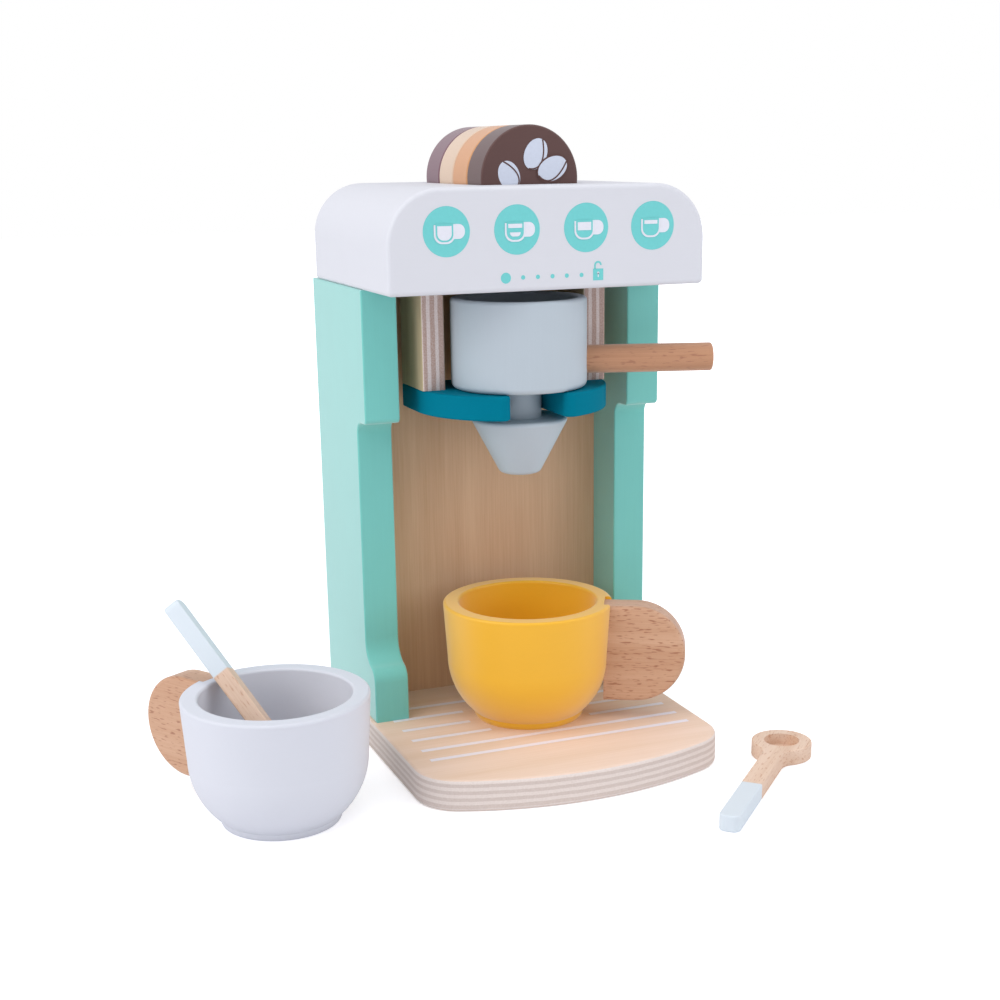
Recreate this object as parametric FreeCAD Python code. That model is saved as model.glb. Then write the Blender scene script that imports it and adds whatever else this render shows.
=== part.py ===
"""Wooden toy coffee maker with its portafilter, four coffee discs, two cups and two spoons.

Millimetres. +Z is up, the front faces -Y and +X is to the right seen from the front.
The origin lies on the underside of the base board, on the centre line of the side panels,
in the plane of their rear edges.
"""
import FreeCAD, Part
import math
import os

os.makedirs("parts", exist_ok=True)
V = FreeCAD.Vector
UP = V(0, 0, 1)

# Machine
machine_width = 120.0
unit_x = -1.5              # the board, the cheeks and the shelf stand a little left of the head
head_front = -100.0
head_rear = -4.8
head_x = 0.5
head_width = 121.0
head_bottom = 177.5
head_height = 36.0
head_corner_r = 19.5
head_edge_r = 1.6

# Base board, 12 mm plywood
base_thickness = 12.0
base_front = -143.3
base_rear = 3.0
base_bow_r = 129.0
base_corner_r = 18.0
base_rear_r = 3.0
base_edge_r = 1.5

# Side panels, solid wood
panel_thickness = 13.5
panel_front = -66.2
panel_waist = -55.1
panel_step_z = 128.4
panel_step_r = 4.8
panel_nose_r = 2.0
foot_top_z = 42.6
foot_arc_in = 9.5
foot_arc_out = 5.5
foot_arc_deg = 75.0
panel_edge_r = 0.6

# Back panel, 9 mm plywood
back_front = -35.6
back_thickness = 9.0
back_clear = 0.1

# Cheeks and shelf, 9 mm plywood
ply_thickness = 8.9
cheek_half = 36.9
cheek_front = -69.6
yoke_rear = -45.0          # the cheeks and the shelf stop short of the back panel
shelf_top = 140.1
shelf_centre_y = -62.5
slot_x = -3.2              # the slot is wider than the neck, mostly to the left
slot_half = 10.2
shelf_edge_r = 0.8
arm_corner_r = 3.0

# Portafilter
axis_y = -72.8
filter_r = 25.4
filter_height = 33.1
filter_wall = 4.0
filter_floor = 6.0
filter_bottom_r = 2.2
filter_rim_r = 1.3
filter_clear = 0.15        # cup underside above the shelf
neck_r = 8.35
tenon_r = 4.0
tenon_fit = 0.06
tenon_length = 4.0
spout_top_z = 128.8
spout_bottom_z = 107.5
spout_top_r = 18.7
spout_bottom_r = 7.5
spout_edge_r = 1.1
spout_tip_r = 2.6
grip_r = 5.25
grip_z = 149.8
grip_deg = -17.5
grip_reach = 72.8
grip_socket = 2.9
grip_end_r = 0.9

# Coffee discs in the head
disc_r = 18.7
disc_thickness = 14.9
disc_pitch = 15.3
disc_edge_r = 0.8
disc_centre_z = 215.4
disc_front_y = -80.8
disc_count = 4
disc_x = 0.4
pocket_clear = 0.45

# Cups
cup_r = 32.8
cup_height = 46.1
cup_taper = 1.4            # the wall narrows by this much from the rim to the belly
cup_wall = 6.2
cup_floor = 6.0
cup_rim_r = 1.0
cup_belly_z = 24.0
cup_belly_r = 28.5
cup_knee_z = 2.5
cup_foot_r = 20.9
yellow_x = -0.7
yellow_y = -77.2
yellow_turn = -28.0
white_x = -109.1
white_y = -111.9
white_turn = 122.5
lug_thickness = 11.2
lug_round = 19.0
lug_centre_z = 26.3
lug_centre_s = 42.1
lug_depth = 3.0
lug_edge_r = 1.4
lug_clear = 0.05

# Spoons
spoon_thickness = 6.2
bowl_r = 11.4
bowl_hole_r = 6.7
bowl_hole_depth = 4.2
spoon_reach = 76.9
bar_width = 7.7
spoon_end_r = 2.6
spoon_neck_r = 7.0
spoon_edge_r = 0.6
table_spoon_x = 82.2
table_spoon_y = -131.2
table_spoon_turn = 225.5
cup_spoon_x = -103.7
cup_spoon_y = -118.8
cup_spoon_z = 17.0
cup_spoon_lean = 45.0
cup_spoon_turn = 126.7
cup_spoon_roll = 32.0

# Fasteners out of sight
peg_r = 3.0
peg_length = 20.0
small_peg_r = 2.0
small_peg_length = 12.0
peg_inset = 14.0
screw_r = 2.0
screw_head_r = 4.0
screw_length = 32.0
screw_sink = 0.4

head_half = machine_width / 2
head_top = head_bottom + head_height
base_top = base_thickness
inner_half = head_half - panel_thickness


def arc(a, b, c):
    return Part.Arc(V(*a), V(*b), V(*c)).toShape()


def seg(a, b):
    return Part.makeLine(V(*a), V(*b))


def prism(edges, direction):
    return Part.Face(Part.Wire(Part.__sortEdges__(edges))).extrude(direction)


def box(x0, x1, y0, y1, z0, z1):
    return Part.makeBox(x1 - x0, y1 - y0, z1 - z0, V(x0, y0, z0))


def cyl(r, h, x, y, z, axis=UP):
    return Part.makeCylinder(r, h, V(x, y, z), axis)


def soften(shape, r, keep):
    edges = [e for e in shape.Edges if keep(e)]
    return shape.makeFillet(r, edges)


def is_vertical(e):
    box_ = e.BoundBox
    return box_.ZLength > 1.0 and box_.XLength < 0.01 and box_.YLength < 0.01


def save(shape, name):
    shape.exportStep("parts/%s.step" % name)
    print(name, round(shape.Volume / 1000.0, 2), "cm3", shape.isValid(), len(shape.Solids))


def peg(x, y, z_mid, r=peg_r, length=peg_length):
    return cyl(r, length, x, y, z_mid - length / 2)


def screw(x, y):
    """Countersunk wood screw driven up through the base board."""
    head = Part.makeCone(screw_head_r, screw_r, screw_head_r - screw_r, V(x, y, screw_sink), UP)
    return head.fuse(cyl(screw_r, screw_length, x, y, screw_sink))


# Where the hidden pegs and screws go
panel_mid = head_half - panel_thickness / 2
peg_ys = [-peg_inset, panel_waist + peg_inset / 2]
panel_pegs = [(s * panel_mid, y) for s in (-1, 1) for y in peg_ys]
cheek_mid = cheek_half - ply_thickness / 2
cheek_ys = [yoke_rear - small_peg_length / 2, cheek_front + small_peg_length / 2]
cheek_pegs = [(unit_x + s * cheek_mid, y) for s in (-1, 1) for y in cheek_ys]
back_mid = back_front + back_thickness / 2
screw_spots = panel_pegs + [(s * inner_half / 2, back_mid) for s in (-1, 1)]

panel_peg_solids = [peg(x, y, head_bottom) for x, y in panel_pegs]
cheek_top_solids = [peg(x, y, head_bottom, small_peg_r, small_peg_length) for x, y in cheek_pegs]
cheek_low_solids = [peg(x, y, shelf_top, small_peg_r, small_peg_length) for x, y in cheek_pegs]
screw_solids = [screw(x, y) for x, y in screw_spots]


# Base board: straight sides, bowed front
def base_board():
    x0 = unit_x - head_half
    x1 = unit_x + head_half
    bow_y = base_front + base_bow_r
    side_front = bow_y - math.sqrt(base_bow_r ** 2 - head_half ** 2)
    edges = [
        seg((x0, base_rear, 0), (x1, base_rear, 0)),
        seg((x1, base_rear, 0), (x1, side_front, 0)),
        arc((x1, side_front, 0), (unit_x, base_front, 0), (x0, side_front, 0)),
        seg((x0, side_front, 0), (x0, base_rear, 0)),
    ]
    board = prism(edges, UP * base_thickness)
    board = soften(board, base_corner_r, lambda e: is_vertical(e) and e.BoundBox.YMin < 0)
    board = soften(board, base_rear_r, lambda e: is_vertical(e) and e.BoundBox.YMin > 0)
    board = soften(board, base_edge_r, lambda e: e.BoundBox.ZLength < 0.01)
    for s in screw_solids:
        board = board.cut(s)
    for x, y in screw_spots:
        board = board.cut(cyl(screw_head_r, screw_sink + 0.01, x, y, -0.01))
    return board


# Side panel: wide upper part, a step under it, a waist and a flared foot
def side_panel(side):
    x0 = -head_half if side < 0 else inner_half
    a = math.radians(foot_arc_deg)
    h = a / 2
    w = panel_waist
    p1y = w - foot_arc_in * (1 - math.cos(a))
    p1z = foot_top_z - foot_arc_in * math.sin(a)
    p2z = p1z - foot_arc_out * math.sin(a)
    step_y = w - panel_step_r
    step_low = panel_step_z - panel_step_r
    nose = panel_nose_r
    s45 = math.sqrt(0.5)
    out_y = panel_front + foot_arc_out
    edges = [
        seg((x0, 0, base_top), (x0, 0, head_bottom)),
        seg((x0, 0, head_bottom), (x0, panel_front, head_bottom)),
        seg((x0, panel_front, head_bottom), (x0, panel_front, panel_step_z + nose)),
        arc(
            (x0, panel_front, panel_step_z + nose),
            (x0, panel_front + nose * (1 - s45), panel_step_z + nose * (1 - s45)),
            (x0, panel_front + nose, panel_step_z),
        ),
        seg((x0, panel_front + nose, panel_step_z), (x0, step_y, panel_step_z)),
        arc(
            (x0, step_y, panel_step_z),
            (x0, step_y + panel_step_r * s45, step_low + panel_step_r * s45),
            (x0, w, step_low),
        ),
        seg((x0, w, step_low), (x0, w, foot_top_z)),
        arc(
            (x0, w, foot_top_z),
            (x0, w - foot_arc_in * (1 - math.cos(h)), foot_top_z - foot_arc_in * math.sin(h)),
            (x0, p1y, p1z),
        ),
        arc(
            (x0, p1y, p1z),
            (x0, out_y - foot_arc_out * math.cos(h), p2z + foot_arc_out * math.sin(h)),
            (x0, out_y - foot_arc_out, p2z),
        ),
        seg((x0, panel_front, p2z), (x0, panel_front, base_top)),
        seg((x0, panel_front, base_top), (x0, 0, base_top)),
    ]
    panel = prism(edges, V(panel_thickness, 0, 0))
    panel = soften(panel, panel_edge_r, lambda e: e.BoundBox.XLength < 0.01)
    for s in panel_peg_solids + screw_solids:
        panel = panel.cut(s)
    return panel


# Head block: big upper corners, all edges softened, pocket for the discs
def head_block():
    r = head_corner_r
    k = r * (1 - math.sqrt(0.5))
    y = head_front
    b = head_bottom
    t = head_top
    x = head_width / 2
    edges = [
        seg((-x, y, b), (x, y, b)),
        seg((x, y, b), (x, y, t - r)),
        arc((x, y, t - r), (x - k, y, t - k), (x - r, y, t)),
        seg((x - r, y, t), (r - x, y, t)),
        arc((r - x, y, t), (k - x, y, t - k), (-x, y, t - r)),
        seg((-x, y, t - r), (-x, y, b)),
    ]
    head = prism(edges, V(0, head_rear - head_front, 0))
    head.translate(V(head_x, 0, 0))
    head = soften(head, head_edge_r, lambda e: True)
    half = disc_r + pocket_clear
    y0 = disc_front_y - pocket_clear
    y1 = disc_front_y + disc_count * disc_pitch + pocket_clear
    floor = disc_centre_z - disc_r
    pocket = box(disc_x - half, disc_x + half, y0, y1, floor, head_top + 1)
    pocket = soften(pocket, disc_edge_r + pocket_clear / 2, is_vertical)
    head = head.cut(pocket)
    for s in panel_peg_solids + cheek_top_solids:
        head = head.cut(s)
    return head


def cheek(side):
    xa = unit_x + side * cheek_half
    xb = xa - side * ply_thickness
    body = box(min(xa, xb), max(xa, xb), cheek_front, yoke_rear, shelf_top, head_bottom)
    body = soften(body, shelf_edge_r, lambda e: is_vertical(e) and e.BoundBox.YMin < cheek_front + 1)
    for s in cheek_top_solids + cheek_low_solids:
        body = body.cut(s)
    return body


# Shelf: half-round front, open slot for the portafilter neck
def portafilter_shelf():
    z0 = shelf_top - ply_thickness
    x0 = unit_x - cheek_half
    x1 = unit_x + cheek_half
    y = shelf_centre_y
    edges = [
        seg((x0, yoke_rear, z0), (x1, yoke_rear, z0)),
        seg((x1, yoke_rear, z0), (x1, y, z0)),
        arc((x1, y, z0), (unit_x, y - cheek_half, z0), (x0, y, z0)),
        seg((x0, y, z0), (x0, yoke_rear, z0)),
    ]
    shelf = prism(edges, UP * ply_thickness)
    half = slot_half
    slot = box(slot_x - half, slot_x + half, y - 2 * cheek_half, axis_y, z0 - 1, shelf_top + 1)
    slot = slot.fuse(cyl(half, ply_thickness + 2, slot_x, axis_y, z0 - 1))
    shelf = shelf.cut(slot)
    front = y - cheek_half * 0.9
    shelf = soften(shelf, arm_corner_r, lambda e: is_vertical(e) and e.BoundBox.YMax < front)
    shelf = soften(shelf, shelf_edge_r, lambda e: e.BoundBox.ZLength < 0.01 and e.BoundBox.YMin < yoke_rear - 1)
    for s in cheek_low_solids:
        shelf = shelf.cut(s)
    return shelf


def turned(edges, x, y):
    """Solid of revolution from edges drawn in the plane XZ around the axis at the origin."""
    face = Part.Face(Part.Wire(Part.__sortEdges__(edges)))
    body = face.revolve(V(0, 0, 0), UP, 360)
    body.translate(V(x, y, 0))
    return body


def sag(a, b, r, side):
    """Middle point of the arc of radius r from a to b, bulging to the given side."""
    mx = (a[0] + b[0]) / 2
    mz = (a[1] + b[1]) / 2
    dx = b[0] - a[0]
    dz = b[1] - a[1]
    d = math.hypot(dx, dz)
    h = r - math.sqrt(r * r - d * d / 4)
    return (mx + side * dz / d * h, mz - side * dx / d * h)


def bow(a, b, r, side):
    m = sag(a, b, r, side)
    return arc((a[0], 0, a[1]), (m[0], 0, m[1]), (b[0], 0, b[1]))


def line(a, b):
    return seg((a[0], 0, a[1]), (b[0], 0, b[1]))


# Portafilter
filter_base = shelf_top + filter_clear
grip_dir = V(math.cos(math.radians(grip_deg)), math.sin(math.radians(grip_deg)), 0)


def grip():
    start = filter_r - grip_socket
    rod = cyl(grip_r, grip_reach - start, 0, 0, 0, UP)
    rod = soften(rod, grip_end_r, lambda e: e.BoundBox.ZMin > 1 and e.BoundBox.ZLength < 0.01)
    rod.Placement = FreeCAD.Placement(
        V(unit_x, axis_y, grip_z) + grip_dir * start,
        FreeCAD.Rotation(UP, grip_dir),
    )
    return rod


def portafilter_cup():
    z0 = filter_base
    z1 = z0 + filter_height
    body = cyl(filter_r, filter_height, unit_x, axis_y, z0)
    body = soften(body, filter_bottom_r, lambda e: e.BoundBox.ZMax < z0 + 0.1)
    bore = cyl(filter_r - filter_wall, filter_height, unit_x, axis_y, z0 + filter_floor)
    bore = soften(bore, filter_bottom_r, lambda e: e.BoundBox.ZMax < z0 + filter_floor + 0.1)
    body = body.cut(bore)
    body = soften(body, filter_rim_r, lambda e: e.BoundBox.ZMin > z1 - 0.1)
    body = body.cut(cyl(tenon_r + tenon_fit, tenon_length + tenon_fit, unit_x, axis_y, z0 - 0.01))
    return body.cut(grip())


def portafilter_neck():
    top = filter_base - tenon_fit
    body = cyl(neck_r, top - spout_top_z, unit_x, axis_y, spout_top_z)
    body = body.fuse(cyl(tenon_r, tenon_length, unit_x, axis_y, top - 0.01))
    return body.fuse(cyl(tenon_r, 2 * tenon_length, unit_x, axis_y, spout_top_z - 2 * tenon_length))


def portafilter_spout():
    h = spout_top_z - spout_bottom_z
    body = Part.makeCone(spout_bottom_r, spout_top_r, h, V(unit_x, axis_y, spout_bottom_z), UP)
    body = soften(body, spout_tip_r, lambda e: e.BoundBox.ZMax < spout_bottom_z + 0.1)
    body = soften(body, spout_edge_r, lambda e: e.BoundBox.ZMin > spout_top_z - 0.1)
    return body.cut(cyl(tenon_r, 2 * tenon_length, unit_x, axis_y, spout_top_z - 2 * tenon_length))


def disc(i):
    y = disc_front_y + i * disc_pitch
    body = cyl(disc_r, disc_thickness, disc_x, y, disc_centre_z, V(0, 1, 0))
    return soften(body, disc_edge_r, lambda e: e.BoundBox.YLength < 0.01)


# Cups: slightly tapered thick wall, round belly, a D-shaped lug let into the wall
def cup_solid(z0):
    top = z0 + cup_height
    waist = cup_r - cup_taper
    drop = cup_belly_z - cup_knee_z
    knee = waist - cup_belly_r + math.sqrt(cup_belly_r ** 2 - drop ** 2)
    a = (waist, z0 + cup_belly_z)
    b = (knee, z0 + cup_knee_z)
    c = (cup_foot_r, z0)
    outer = [
        line((0, z0), c),
        bow(c, b, 2 * cup_knee_z, 1),
        bow(b, a, cup_belly_r, 1),
        line(a, (cup_r, top)),
        line((cup_r, top), (0, top)),
        line((0, top), (0, z0)),
    ]
    ri = cup_r - cup_wall
    belly = cup_belly_r - cup_wall
    d = (waist - cup_wall, z0 + cup_belly_z)
    floor = z0 + cup_floor
    e = (d[0] - belly + math.sqrt(belly ** 2 - (d[1] - floor) ** 2), floor)
    inner = [
        line((0, floor), e),
        bow(e, d, belly, 1),
        line(d, (ri, top)),
        line((ri, top), (0, top)),
        line((0, top), (0, floor)),
    ]
    body = turned(outer, 0, 0).cut(turned(inner, 0, 0))
    return soften(body, cup_rim_r, lambda q: q.BoundBox.ZMin > top - 0.1)


def lug_solid(z0, gap):
    """D-shaped lug along +X, square to the cup wall at its inner end."""
    half = lug_thickness / 2 + gap
    s0 = cup_r - lug_depth - gap
    s1 = lug_centre_s
    zc = z0 + lug_centre_z
    q = lug_round + gap
    edges = [
        seg((s0, -half, zc - q), (s1, -half, zc - q)),
        arc((s1, -half, zc - q), (s1 + q, -half, zc), (s1, -half, zc + q)),
        seg((s1, -half, zc + q), (s0, -half, zc + q)),
        seg((s0, -half, zc + q), (s0, -half, zc - q)),
    ]
    return prism(edges, V(0, 2 * half, 0))


def cup_and_lug(x, y, z0, turn):
    cup = cup_solid(z0)
    half = lug_thickness / 2 + lug_clear
    open_top = box(
        cup_r - lug_depth - lug_clear, cup_r + lug_depth, -half, half,
        z0 + lug_centre_z, z0 + cup_height + 1,
    )
    cup = cup.cut(lug_solid(z0, lug_clear).fuse(open_top))
    lug = lug_solid(z0, 0)
    lug = soften(lug, lug_edge_r, lambda q: q.BoundBox.YLength < 0.01 and q.BoundBox.XMax > cup_r)
    for shape in (cup, lug):
        shape.rotate(V(0, 0, 0), UP, turn)
        shape.translate(V(x, y, 0))
    return cup, lug


# Spoon: flat bar running into a round bowl with a blind round hollow, bowl centre at the origin
def spoon_flat():
    t = spoon_thickness
    half = bar_width / 2
    bowl = cyl(bowl_r, t, 0, 0, 0)
    bar = box(0, spoon_reach, -half, half, 0, t)
    bar = soften(bar, spoon_end_r, lambda e: is_vertical(e) and e.BoundBox.XMin > 1)
    body = bowl.fuse(bar).removeSplitter()
    body = soften(body, spoon_neck_r, lambda e: is_vertical(e) and 1 < e.BoundBox.XMin < 2 * bowl_r)
    body = soften(body, spoon_edge_r, lambda e: e.BoundBox.ZLength < 0.01)
    return body.cut(cyl(bowl_hole_r, t, 0, 0, t - bowl_hole_depth))


def table_spoon():
    body = spoon_flat()
    body.rotate(V(0, 0, 0), UP, table_spoon_turn)
    body.translate(V(table_spoon_x, table_spoon_y, 0))
    return body


def cup_spoon():
    body = spoon_flat()
    body.translate(V(0, 0, -spoon_thickness / 2))
    body.rotate(V(0, 0, 0), V(1, 0, 0), cup_spoon_roll)
    body.rotate(V(0, 0, 0), V(0, 1, 0), -cup_spoon_lean)
    body.rotate(V(0, 0, 0), UP, cup_spoon_turn)
    body.translate(V(cup_spoon_x, cup_spoon_y, cup_spoon_z))
    return body


save(base_board(), "base_board")
save(side_panel(-1), "side_panel_left")
save(side_panel(1), "side_panel_right")
save(
    box(back_clear - inner_half, inner_half - back_clear, back_front, back_front + back_thickness,
        base_top, head_bottom).cut(Part.makeCompound(screw_solids)),
    "back_panel",
)
save(head_block(), "head_block")
save(cheek(-1), "cheek_left")
save(cheek(1), "cheek_right")
save(portafilter_shelf(), "portafilter_shelf")
save(portafilter_cup(), "portafilter_cup")
save(grip(), "portafilter_handle")
save(portafilter_neck(), "portafilter_neck")
save(portafilter_spout(), "portafilter_spout")
for index, colour in enumerate(("dark", "caramel", "cream", "plum")):
    save(disc(index), "coffee_disc_%s" % colour)
yellow_cup, yellow_lug = cup_and_lug(yellow_x, yellow_y, base_top, yellow_turn)
save(yellow_cup, "yellow_cup")
save(yellow_lug, "yellow_cup_handle")
white_cup, white_lug = cup_and_lug(white_x, white_y, 0, white_turn)
save(white_cup, "white_cup")
save(white_lug, "white_cup_handle")
save(cup_spoon(), "spoon_in_cup")
save(table_spoon(), "spoon_on_table")
save(Part.makeCompound(screw_solids), "base_screws")
save(Part.makeCompound(panel_peg_solids), "head_pegs")
save(Part.makeCompound(cheek_top_solids), "cheek_pegs")
save(Part.makeCompound(cheek_low_solids), "shelf_pegs")
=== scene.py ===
import math
import bpy
import bmesh
from mathutils import Matrix, Vector


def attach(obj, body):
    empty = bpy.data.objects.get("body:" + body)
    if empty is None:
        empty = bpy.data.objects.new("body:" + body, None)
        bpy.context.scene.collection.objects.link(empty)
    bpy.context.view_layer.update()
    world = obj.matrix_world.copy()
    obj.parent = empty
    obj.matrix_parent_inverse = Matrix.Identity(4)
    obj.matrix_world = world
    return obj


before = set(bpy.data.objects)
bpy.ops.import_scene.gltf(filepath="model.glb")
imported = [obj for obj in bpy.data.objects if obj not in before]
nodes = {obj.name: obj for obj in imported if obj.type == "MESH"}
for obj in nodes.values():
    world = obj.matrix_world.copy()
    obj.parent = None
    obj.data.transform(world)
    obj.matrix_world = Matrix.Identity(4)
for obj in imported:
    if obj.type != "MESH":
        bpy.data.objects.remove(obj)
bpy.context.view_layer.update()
MM = 0.001

# Real sizes in millimetres
HEAD_FRONT = -100.0        # y of the head's front face
BOARD_TOP = 12.0           # z of the base board's top
DISC_FRONT = -80.8         # y of the front coffee disc's face
PRINT = 0.04               # how far a print stands off its surface
UNIT_X = -1.5              # centre line of the board, cheeks and shelf
SPOON_PAINT = 45.6         # where a spoon's paint starts, from the centre of its bowl


# Materials
def lin(hexa, a=1.0):
    """sRGB hex to linear RGBA."""
    out = []
    for i in (0, 2, 4):
        c = int(hexa[i:i + 2], 16) / 255
        out.append(c / 12.92 if c <= 0.04045 else ((c + 0.055) / 1.055) ** 2.4)
    return (*out, a)


class Graph:
    """A material's node tree; add() makes one node, sets its sockets and links its inputs."""

    def __init__(self, name, rough=0.5, spec=0.4):
        self.m = bpy.data.materials.new(name)
        self.m.use_nodes = True
        self.t = self.m.node_tree
        self.t.nodes.clear()
        self.out = self.add("OutputMaterial")
        self.bsdf = self.add("BsdfPrincipled", Roughness=rough)
        self.bsdf.inputs["Specular IOR Level"].default_value = spec
        self.link(self.bsdf.outputs[0], self.out.inputs["Surface"])
        self.mm = self.op("MULTIPLY", self.add("TexCoord").outputs["Object"], (1000, 1000, 1000))

    def add(self, kind, props=None, **sockets):
        n = self.t.nodes.new("ShaderNode" + kind)
        for k, v in (props or {}).items():
            setattr(n, k, v)
        for k, v in sockets.items():
            s = n.inputs[k.replace("_", " ")]
            self.put(s, v)
        return n

    def put(self, socket, v):
        if isinstance(v, bpy.types.NodeSocket):
            self.link(v, socket)
        else:
            socket.default_value = v

    def link(self, a, b):
        self.t.links.new(a, b)

    def op(self, how, a, b):
        """Vector maths."""
        n = self.add("VectorMath", {"operation": how})
        self.put(n.inputs[0], a)
        self.put(n.inputs[1], b)
        return n.outputs["Value"] if how == "DOT_PRODUCT" else n.outputs["Vector"]

    def math(self, how, a, b=0.0, c=0.0):
        n = self.add("Math", {"operation": how})
        for s, v in zip(n.inputs, (a, b, c)):
            self.put(s, v)
        return n.outputs[0]

    def mix(self, fac, a, b, how="MIX"):
        n = self.add("MixRGB", {"blend_type": how}, Fac=fac)
        self.put(n.inputs[1], a)
        self.put(n.inputs[2], b)
        return n.outputs[0]

    def ramp(self, fac, stops):
        n = self.add("ValToRGB", Fac=fac)
        el = n.color_ramp.elements
        while len(el) < len(stops):
            el.new(0.5)
        for e, (p, c) in zip(el, stops):
            e.position = p
            e.color = c
        return n.outputs[0]

    def noise(self, vec, scale=1.0, detail=3.0, rough=0.5):
        return self.add("TexNoise", Vector=vec, Scale=scale, Detail=detail, Roughness=rough).outputs["Fac"]

    def along(self, d, across=1.0, length=30.0, seed=0.0):
        """Coordinates in mm stretched along the direction d: 1 unit = across mm or length mm."""
        d = Vector(d).normalized()
        up = Vector((0, 0, 1)) if abs(d.z) < 0.9 else Vector((1, 0, 0))
        e = d.cross(up).normalized()
        f = d.cross(e)
        rows = [d / length, e / across, f / across]
        parts = [self.op("DOT_PRODUCT", self.mm, tuple(r)) for r in rows]
        n = self.add("CombineXYZ", X=parts[0], Y=parts[1], Z=parts[2])
        return self.op("ADD", n.outputs[0], (seed, seed * 0.7, seed * 1.3))

    def colour(self, c):
        self.put(self.bsdf.inputs["Base Color"], c)

    def bump(self, height, dist, strength=0.4):
        n = self.add("Bump", Strength=strength, Distance=dist * MM, Height=height)
        self.link(n.outputs[0], self.bsdf.inputs["Normal"])


def paint(name, hexa, dark=0.94, rough=0.5, grain=(0, 0, 1), bump=0.25, spec=0.4, veil=0.0):
    """Matt water paint on wood: faint cloudy tone and the wood's grain just felt through it."""
    g = Graph(name, rough, spec)
    g.bsdf.inputs["Sheen Weight"].default_value = veil
    g.bsdf.inputs["Sheen Roughness"].default_value = 0.5
    tone = g.noise(g.mm, 0.06, 2.0)
    fibre = g.noise(g.along(grain, 0.7, 26.0), 1.0, 4.0, 0.6)
    both = g.math("ADD", g.math("MULTIPLY", tone, 0.5), g.math("MULTIPLY", fibre, 0.5))
    c = lin(hexa)
    low = tuple(x * dark for x in c[:3]) + (1,)
    g.colour(g.ramp(both, [(0.3, low), (0.7, c)]))
    g.bump(fibre, 0.06, bump)
    return g


def wood_colour(g, grain, light, dark, flecks=None, ring=7.0, seed=0.0, ray=1.0):
    """Long growth stripes, fine fibres and, on beech, short dark ray flecks along the grain."""
    wide = g.noise(g.along(grain, ring, 160.0, seed), 1.0, 2.0, 0.5)
    fine = g.noise(g.along(grain, 0.55, 30.0, seed), 1.0, 4.0, 0.65)
    both = g.math("ADD", g.math("MULTIPLY", wide, 0.55), g.math("MULTIPLY", fine, 0.45))
    c = g.ramp(both, [(0.34, lin(dark)), (0.62, lin(light))])
    if flecks:
        f = g.noise(g.along(grain, 0.62 * ray, 3.4, seed + 5), 1.0, 1.0, 0.4)
        mask = g.ramp(f, [(0.60, (0, 0, 0, 1)), (0.70, (1, 1, 1, 1))])
        c = g.mix(g.math("MULTIPLY", mask, 0.75), c, lin(flecks))
    return c, fine


def bare_wood(name, grain, light, dark, flecks=None, rough=0.6, ring=7.0, seed=0.0, bump=0.3):
    g = Graph(name, rough, 0.3)
    g.bsdf.inputs["Sheen Weight"].default_value = 0.3
    c, fine = wood_colour(g, grain, light, dark, flecks, ring, seed)
    g.colour(c)
    g.bump(fine, 0.08, bump)
    return g


def plywood(name, across, origin, thick, layers, face_grain,
            face_light, face_dark, end_light, end_dark, seed=0.0):
    """Birch plywood: veneer grain on the faces, alternating layers where the edge shows.
    across is the axis through the layers; layers lists each boundary in mm and the layer's tone 0 or 1."""
    g = Graph(name, 0.62, 0.3)
    face, fine = wood_colour(g, face_grain, face_light, face_dark, None, 9.0, seed)
    depth = g.math("SUBTRACT", g.op("DOT_PRODUCT", g.mm, across), origin)
    wob = g.math("MULTIPLY", g.math("SUBTRACT", g.noise(g.mm, 0.12, 2.0), 0.5), 0.5)
    d = g.math("DIVIDE", g.math("ADD", depth, wob), thick)
    stops = []
    for p, tone in layers:
        c = lin(end_light if tone else end_dark)
        stops += [(max(0.0, p / thick - 0.006), stops[-1][1] if stops else c), (p / thick, c)]
    edge = g.ramp(d, stops)
    edge_grain = g.noise(g.mm, 2.2, 3.0)
    edge = g.mix(0.35, edge, g.ramp(edge_grain, [(0.35, lin(end_dark)), (0.65, lin(end_light))]), "MIX")
    geo = g.add("NewGeometry")
    n = g.math("ABSOLUTE", g.op("DOT_PRODUCT", geo.outputs["Normal"], across))
    is_face = g.math("GREATER_THAN", n, 0.72)
    g.colour(g.mix(is_face, edge, face))
    g.bump(fine, 0.06, 0.3)
    return g


def flat(degrees):
    """A level direction, turned from +X towards +Y."""
    angle = math.radians(degrees)
    return (math.cos(angle), math.sin(angle), 0)


def put(node, g):
    """Every slot of a CAD node gets this material."""
    o = nodes[node]
    for s in o.material_slots:
        s.material = g.m
    if not o.material_slots:
        o.data.materials.append(g.m)


# mint water paint on the solid side panels: matt, paler where it is seen at a slant
mint = paint("mint_paint_on_wood", "74CBC2", 0.95, 0.5, veil=0.8)
for side in ("left", "right"):
    put("side_panel_" + side, mint)

# white water paint on the head: matt and smooth, with almost no grain
white_head = paint("white_paint_on_wood", "D9DAE0", 0.985, 0.5, (1, 0, 0), 0.15, 0.3)
put("head_block", white_head)

# white paint on the turned cup
white_cup = paint("white_paint_on_cup", "D6D8E0", 0.985, 0.5, (1, 0, 0), 0.12, 0.3)
put("white_cup", white_cup)

# yellow paint on the turned cup: a little shinier than the rest
yellow = paint("yellow_paint_on_cup", "F4B716", 0.97, 0.42, (1, 0, 0), 0.12, 0.5, 0.5)
put("yellow_cup", yellow)

# teal paint on the plywood shelf: deep and almost without shine
teal = paint("teal_paint_on_plywood", "007890", 0.92, 0.7, (1, 0, 0), 0.2, 0.03)
put("portafilter_shelf", teal)

# pale grey-blue paint on the turned portafilter
grey_blue = paint("grey_blue_paint_on_wood", "B9C4CC", 0.97, 0.5, (0, 0, 1), 0.15)
for n in ("portafilter_cup", "portafilter_neck", "portafilter_spout"):
    put(n, grey_blue)

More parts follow.
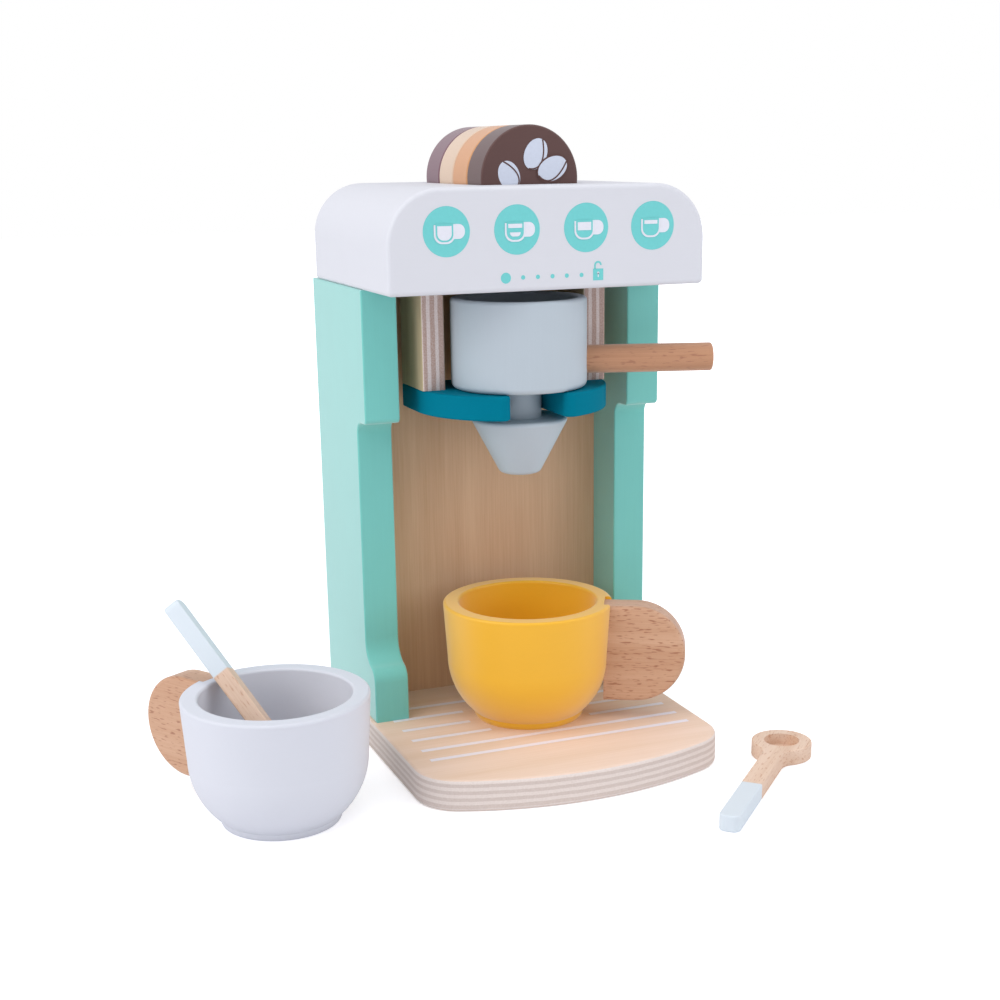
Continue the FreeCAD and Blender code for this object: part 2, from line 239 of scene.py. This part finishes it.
# birch plywood of the base board, layers lying flat
BASE_LAYERS = [(0, 1), (1.4, 0), (2.8, 1), (4.1, 0), (5.4, 1), (6.7, 0), (8.0, 1), (9.3, 0), (10.6, 1)]
put("base_board", plywood("birch_plywood_board", (0, 0, 1), 0.0, 12.0, BASE_LAYERS, (1, 0, 0),
                          "EED5C4", "E4C8B0", "E8DCD5", "CFBFB6"))

# birch plywood of the cheeks, layers standing; the veneer faces are painted darker and greener than the
# board's birch, as painted shade under the head with a painted green cast from the mint panels
CHEEK_LAYERS = [(0, 1), (0.5, 0), (2.0, 1), (3.4, 0), (5.2, 1), (6.5, 0), (7.9, 0)]
for side, x0 in (("left", UNIT_X - 36.9), ("right", UNIT_X + 28.0)):
    put("cheek_" + side, plywood("birch_plywood_cheek_painted_shade_" + side, (1, 0, 0), x0, 8.9, CHEEK_LAYERS, (0, 0, 1),
                                 "C8B796", "B5A27E", "E6DAD6", "B6978A", 3.0))

# birch veneer of the back panel, grain upright
put("back_panel", bare_wood("birch_veneer_back", (0, 0, 1), "DEBA98", "CEA683", None, 0.65, 12.0, 2.0))

# oiled beech: lugs with the grain along them, the turned grip and the pegs
LIGHT_BEECH, DARK_BEECH, FLECK = "D3AA8C", "C19272", "9C6246"
YELLOW_LUG, WHITE_LUG, GRIP = flat(-28), flat(122.5), flat(-17.5)
put("yellow_cup_handle",
    bare_wood("beech_lug_yellow_cup", YELLOW_LUG, LIGHT_BEECH, DARK_BEECH, FLECK, seed=1.0))
put("white_cup_handle",
    bare_wood("beech_lug_white_cup", WHITE_LUG, LIGHT_BEECH, DARK_BEECH, FLECK, seed=4.0))
put("portafilter_handle", bare_wood("beech_grip", GRIP, "C69473", "B48260", "A47057", seed=7.0))
for n in ("head_pegs", "cheek_pegs", "shelf_pegs"):
    put(n, bare_wood("beech_" + n, (0, 0, 1), LIGHT_BEECH, DARK_BEECH))

# zinc plated steel of the screws under the board
screw = Graph("zinc_plated_steel", 0.35)
screw.colour(screw.ramp(screw.noise(screw.mm, 0.8), [(0.3, lin("A9ABAE")), (0.7, lin("C4C6C8"))]))
screw.bsdf.inputs["Metallic"].default_value = 1.0
put("base_screws", screw)

# painted coffee discs
for n, hexa in (("dark", "5C3F3B"), ("caramel", "D59C6E"), ("cream", "DCC1A8"), ("plum", "7E5E68")):
    put("coffee_disc_" + n, paint(n + "_paint_on_disc", hexa, 0.95, 0.5, (1, 0, 0), 0.15, 0.3, 0.35))


def spoon(name, centre, direction, seed):
    """Bare wood with the far half of the bar painted grey-blue."""
    g = Graph(name, 0.55, 0.35)
    d = Vector(direction).normalized()
    c, fine = wood_colour(g, tuple(d), "E6CBB6", "D8B69C", "C79A7E", 5.0, seed)
    s = g.math("SUBTRACT", g.op("DOT_PRODUCT", g.mm, tuple(d)), d.dot(Vector(centre)) + SPOON_PAINT)
    mask = g.ramp(g.math("ADD", g.math("MULTIPLY", s, 1.6), 0.5), [(0.0, (0, 0, 0, 1)), (1.0, (1, 1, 1, 1))])
    g.colour(g.mix(mask, c, lin("D6DFE6")))
    g.bump(fine, 0.06, 0.25)
    return g


put("spoon_on_table", spoon("beech_spoon_lying", (82.2, -131.2, 3), flat(225.5), 2.0))
t, e = math.radians(126.7), math.radians(45)
put("spoon_in_cup", spoon("beech_spoon_standing", (-103.7, -118.8, 17.0),
                          (math.cos(e) * math.cos(t), math.cos(e) * math.sin(t), math.sin(e)), 6.0))


# Prints
def ink(name, hexa, rough=0.5):
    """Screen print ink: nearly even, with the paint's slight cloud."""
    g = Graph(name, rough, 0.35)
    c = lin(hexa)
    g.colour(g.ramp(g.noise(g.mm, 0.9, 3.0), [(0.3, tuple(x * 0.96 for x in c[:3]) + (1,)), (0.7, c)]))
    return g


teal_ink = ink("teal_screen_print", "72D0CF")
white_ink = ink("white_screen_print", "E6E7F0")
line_ink = ink("white_line_print", "EDE9F2")
bean_ink = ink("pale_bean_print", "D2D9E8")
bean_dark = ink("bean_groove_print", "5C3F3B")


def fresh():
    if bpy.context.object and bpy.context.object.mode != "OBJECT":
        bpy.ops.object.mode_set(mode="OBJECT")
    bpy.ops.object.select_all(action="DESELECT")


def finish_piece(o, name, g, body):
    bpy.ops.object.transform_apply(location=True, rotation=True, scale=True)
    o.name = name
    o.data.name = name
    o.data.materials.clear()
    o.data.materials.append(g.m)
    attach(o, body)
    return o


def upright(o):
    """Turns a flat piece made in XY to face -Y."""
    o.rotation_euler = (math.pi / 2, 0, 0)


def dot(name, x, z, r, y, g, body, rz=None, turn=0.0):
    """A flat round or oval print facing -Y; sizes in mm."""
    fresh()
    bpy.ops.mesh.primitive_circle_add(vertices=48, radius=1.0, fill_type="NGON")
    o = bpy.context.object
    o.scale = (r * MM, (rz or r) * MM, 1)
    bpy.ops.object.transform_apply(location=False, rotation=False, scale=True)
    o.rotation_euler = (math.pi / 2, turn, 0)
    o.location = (x * MM, y * MM, z * MM)
    return finish_piece(o, name, g, body)


def tile(name, x0, x1, z0, z1, y, g, body, r=0.0, corners=()):
    """A flat rectangle facing -Y with chosen corners rounded; corners are (right, top) pairs of 0 or 1."""
    fresh()
    bpy.ops.mesh.primitive_plane_add(size=1)
    o = bpy.context.object
    o.scale = ((x1 - x0) * MM, (z1 - z0) * MM, 1)
    bpy.ops.object.transform_apply(location=False, rotation=False, scale=True)
    if corners:
        bpy.ops.object.mode_set(mode="EDIT")
        bm = bmesh.from_edit_mesh(o.data)
        for v in bm.verts:
            v.select = (int(v.co.x > 0), int(v.co.y > 0)) in corners
        bmesh.update_edit_mesh(o.data)
        bpy.ops.mesh.select_mode(type="VERT")
        bpy.ops.mesh.bevel(offset=r * MM, offset_type="OFFSET", segments=8, affect="VERTICES")
        bpy.ops.object.mode_set(mode="OBJECT")
    upright(o)
    o.location = ((x0 + x1) / 2 * MM, y * MM, (z0 + z1) / 2 * MM)
    return finish_piece(o, name, g, body)


# four buttons, each a teal disc with a cup pictured on it; FILLS gives top, bottom and inset
# of what each cup holds, in mm from the middle of the disc
BUTTON_R = 8.55
ICON_X = (-38.6, -12.6, 13.7, 39.8)
ICON_Z = 198.8
FILLS = (
    ((1.9, -2.9, 0.0),),
    ((2.0, 0.6, 0.0), (-0.9, -2.3, 0.6)),
    ((1.9, -0.9, 0.0),),
    ((1.9, 0.6, 0.0),),
)
LOW = ((0, 0), (1, 0))       # the two lower corners of a tile
RIGHT = ((1, 0), (1, 1))     # the two right-hand corners
for i, (x, fills) in enumerate(zip(ICON_X, FILLS)):
    y = HEAD_FRONT - PRINT
    p = "button_%d_" % (i + 1)
    dot(p + "disc", x, ICON_Z, BUTTON_R, y, teal_ink, "machine")
    tile(p + "handle", x + 2.4, x + 6.7, ICON_Z - 2.5, ICON_Z + 2.5, y - PRINT,
         white_ink, "machine", 2.3, RIGHT)
    tile(p + "cup", x - 4.6, x + 3.1, ICON_Z - 4.1, ICON_Z + 2.3, y - 3 * PRINT,
         white_ink, "machine", 3.1, LOW)
    tile(p + "cup_inside", x - 3.95, x + 2.45, ICON_Z - 3.45, ICON_Z + 2.6, y - 4 * PRINT,
         teal_ink, "machine", 2.6, LOW)
    for j, (top, low, inset) in enumerate(fills):
        deep = low < -2
        tile(p + "fill_%d" % j, x - 3.35 + inset, x + 1.85 - inset, ICON_Z + low, ICON_Z + top, y - 5 * PRINT,
             white_ink, "machine", 1.3 if j else 2.2, LOW if deep else ())

# the line of dots from closed to open, and the open padlock
y = HEAD_FRONT - PRINT
DOT_Z = 182.4
dot("dot_big", -17.0, DOT_Z, 1.9, y, teal_ink, "machine")
for i, x in enumerate((-10.5, -4.9, 0.7, 6.2, 11.9)):
    dot("dot_%d" % i, x, DOT_Z, 0.78, y, teal_ink, "machine")
tile("padlock_body", 16.4, 20.4, 180.3, 184.4, y, teal_ink, "machine")
dot("padlock_key", 18.4, 182.9, 0.45, y - PRINT, white_ink, "machine")
tile("padlock_slit", 18.2, 18.6, 181.4, 182.9, y - PRINT, white_ink, "machine")
fresh()
bpy.ops.mesh.primitive_torus_add(major_radius=1.15 * MM, minor_radius=0.32 * MM,
                                 major_segments=40, minor_segments=8)
o = bpy.context.object
bpy.ops.object.mode_set(mode="EDIT")
bm = bmesh.from_edit_mesh(o.data)
gone = [v for v in bm.verts if v.co.y < -0.1 * MM]
bmesh.ops.delete(bm, geom=gone, context="VERTS")
bmesh.update_edit_mesh(o.data)
bpy.ops.object.mode_set(mode="OBJECT")
o.scale = (1, 1, 0.1)
bpy.ops.object.transform_apply(location=False, rotation=False, scale=True)
upright(o)
o.location = (18.3 * MM, (y - 0.02) * MM, 185.6 * MM)
finish_piece(o, "padlock_shackle", teal_ink, "machine")
tile("padlock_shackle_leg", 16.83, 17.47, 184.3, 185.7, y, teal_ink, "machine")

# coffee beans on the front disc, each split by a groove shaped like an S
def groove(name, x, z, half, y, turn):
    fresh()
    bpy.ops.curve.primitive_bezier_curve_add()
    o = bpy.context.object
    low, high = o.data.splines[0].bezier_points
    sway = 0.62 * half * MM
    low.co, high.co = (0, -half * MM, 0), (0, half * MM, 0)
    low.handle_right = (-sway, -0.25 * half * MM, 0)
    high.handle_left = (sway, 0.25 * half * MM, 0)
    o.data.bevel_depth = 0.27 * MM
    o.data.bevel_resolution = 2
    o.data.resolution_u = 16
    bpy.ops.object.convert(target="MESH")
    o = bpy.context.object
    o.scale = (1, 1, 0.08)
    bpy.ops.object.transform_apply(location=False, rotation=False, scale=True)
    o.rotation_euler = (math.pi / 2, turn, 0)
    o.location = (x * MM, y * MM, z * MM)
    return finish_piece(o, name, bean_dark, "disc_dark")


# each bean: x, z, half width, half length, turn
BEANS = ((-7.7, 216.6, 4.0, 5.3, -0.42), (2.5, 223.9, 4.25, 5.7, 0.5), (9.0, 218.8, 4.05, 5.9, 1.15))
for i, (x, z, rx, rz, turn) in enumerate(BEANS):
    y = DISC_FRONT - PRINT * (1 + 3 * i)
    if i == 2:
        dot("bean_2_outline", x, z, rx + 0.55, y + PRINT, bean_dark, "disc_dark", rz + 0.55, turn)
    dot("bean_%d" % i, x, z, rx, y, bean_ink, "disc_dark", rz, turn)
    groove("bean_%d_groove" % i, x, z, rz, y - PRINT, turn)

# six white lines on the board, broken by a blank round place for the cup
BLANK_X, BLANK_Y, BLANK_R = -0.8, -75.4, 25.3
LINE_X0, LINE_X1, LINE_W = -53.4, 52.0, 2.4
NARROW_Y, NARROW_HALF = -66.2, 46.5   # behind NARROW_Y the lines end short of the side panels
for i, ly in enumerate((-55.8, -67.1, -78.6, -90.0, -101.3, -111.4)):
    d = abs(ly - BLANK_Y)
    spans = [(LINE_X0, LINE_X1)]
    if d < BLANK_R:
        h = math.sqrt(BLANK_R ** 2 - d ** 2)
        spans = [(LINE_X0, BLANK_X - h), (BLANK_X + h, LINE_X1)]
    for j, (a, b) in enumerate(spans):
        if ly > NARROW_Y:
            a, b = max(a, -NARROW_HALF), min(b, NARROW_HALF)
        fresh()
        bpy.ops.mesh.primitive_plane_add(size=1)
        o = bpy.context.object
        o.scale = ((b - a) * MM, LINE_W * MM, 1)
        o.location = ((a + b) / 2 * MM, ly * MM, (BOARD_TOP + PRINT) * MM)
        finish_piece(o, "board_line_%d_%d" % (i, j), line_ink, "machine")

# Floor, light and camera
fresh()
bpy.ops.mesh.primitive_plane_add(size=8)
floor = bpy.context.object
floor.name = "floor"
# pale matt paper that glows to the camera alone, more with distance, and keeps the near shadow
gf = Graph("floor_paper", 0.9, 0.0)
gf.colour(gf.ramp(gf.noise(gf.mm, 0.01), [(0.3, lin("F4F4F6")), (0.7, lin("F6F6F8"))]))
far = gf.add("VectorMath", {"operation": "LENGTH"})
gf.link(gf.mm, far.inputs[0])
rise = gf.add("MapRange", Value=far.outputs["Value"])
for key, v in (("From Min", 190), ("From Max", 700), ("To Min", 0.4), ("To Max", 1.0)):
    rise.inputs[key].default_value = v
glow = gf.add("Emission", Color=lin("FFFFFF"), Strength=rise.outputs[0])
lp = gf.add("LightPath")
mixer = gf.add("AddShader")
gate = gf.add("MixShader", Fac=lp.outputs["Is Camera Ray"])
gf.link(gf.bsdf.outputs[0], mixer.inputs[0])
gf.link(glow.outputs[0], mixer.inputs[1])
gf.link(gf.bsdf.outputs[0], gate.inputs[1])
gf.link(mixer.outputs[0], gate.inputs[2])
gf.link(gate.outputs[0], gf.out.inputs["Surface"])
floor.data.materials.append(gf.m)

# the camera sees white, and the object is lit by a softer grey
world = bpy.data.worlds.new("studio")
bpy.context.scene.world = world
world.use_nodes = True
wt = world.node_tree
wt.nodes.clear()
wo = wt.nodes.new("ShaderNodeOutputWorld")
seen = wt.nodes.new("ShaderNodeBackground")
seen.inputs[0].default_value = (1, 1, 1, 1)
seen.inputs[1].default_value = 1.0
lit = wt.nodes.new("ShaderNodeBackground")
lit.inputs[0].default_value = lin("F5F6FC")
lit.inputs[1].default_value = 0.66
wl = wt.nodes.new("ShaderNodeLightPath")
wm = wt.nodes.new("ShaderNodeMixShader")
wt.links.new(wl.outputs["Is Camera Ray"], wm.inputs[0])
wt.links.new(lit.outputs[0], wm.inputs[1])
wt.links.new(seen.outputs[0], wm.inputs[2])
wt.links.new(wm.outputs[0], wo.inputs[0])


def lamp(name, place, target, size, power, hexa="FFFFFF"):
    data = bpy.data.lights.new(name, "AREA")
    data.shape = "RECTANGLE"
    data.size, data.size_y = size
    data.energy = power
    data.color = lin(hexa)[:3]
    o = bpy.data.objects.new(name, data)
    bpy.context.scene.collection.objects.link(o)
    o.location = place
    o.rotation_mode = "QUATERNION"
    o.rotation_quaternion = (Vector(target) - Vector(place)).to_track_quat("-Z", "Y")


lamp("softbox_left", (-1.5, -0.3, 1.15), (0, -0.05, 0.1), (1.6, 1.6), 17.0)
lamp("softbox_top", (0.1, -0.4, 1.7), (0, -0.05, 0.1), (1.6, 1.6), 8.0)
lamp("softbox_right", (1.5, -1.1, 0.8), (0, -0.05, 0.1), (1.4, 1.2), 8.2)

# the camera's place and turn were fitted to the machine's straight edges in the photograph
YAW, PITCH, ROLL = math.radians(-21.8), math.radians(15.95), math.radians(-0.64)
back = Vector((math.sin(YAW) * math.cos(PITCH), -math.cos(YAW) * math.cos(PITCH), math.sin(PITCH)))
right = (-back).cross(Vector((0, 0, 1))).normalized()
up = right.cross(-back)
cx = right * math.cos(ROLL) + up * math.sin(ROLL)
cy = up * math.cos(ROLL) - right * math.sin(ROLL)
cam = bpy.data.cameras.new("camera")
cam.sensor_width = 36.0
cam.lens = 56.77
cam.shift_x = -0.01848
cam.shift_y = 0.09899
cam.clip_start = 0.05
co = bpy.data.objects.new("camera", cam)
bpy.context.scene.collection.objects.link(co)
co.matrix_world = Matrix((
    (cx.x, cy.x, back.x, -0.22199),
    (cx.y, cy.y, back.y, -0.62098),
    (cx.z, cy.z, back.z, 0.22593),
    (0, 0, 0, 1),
))
bpy.context.scene.camera = co
bpy.context.scene.view_settings.view_transform = "Standard"
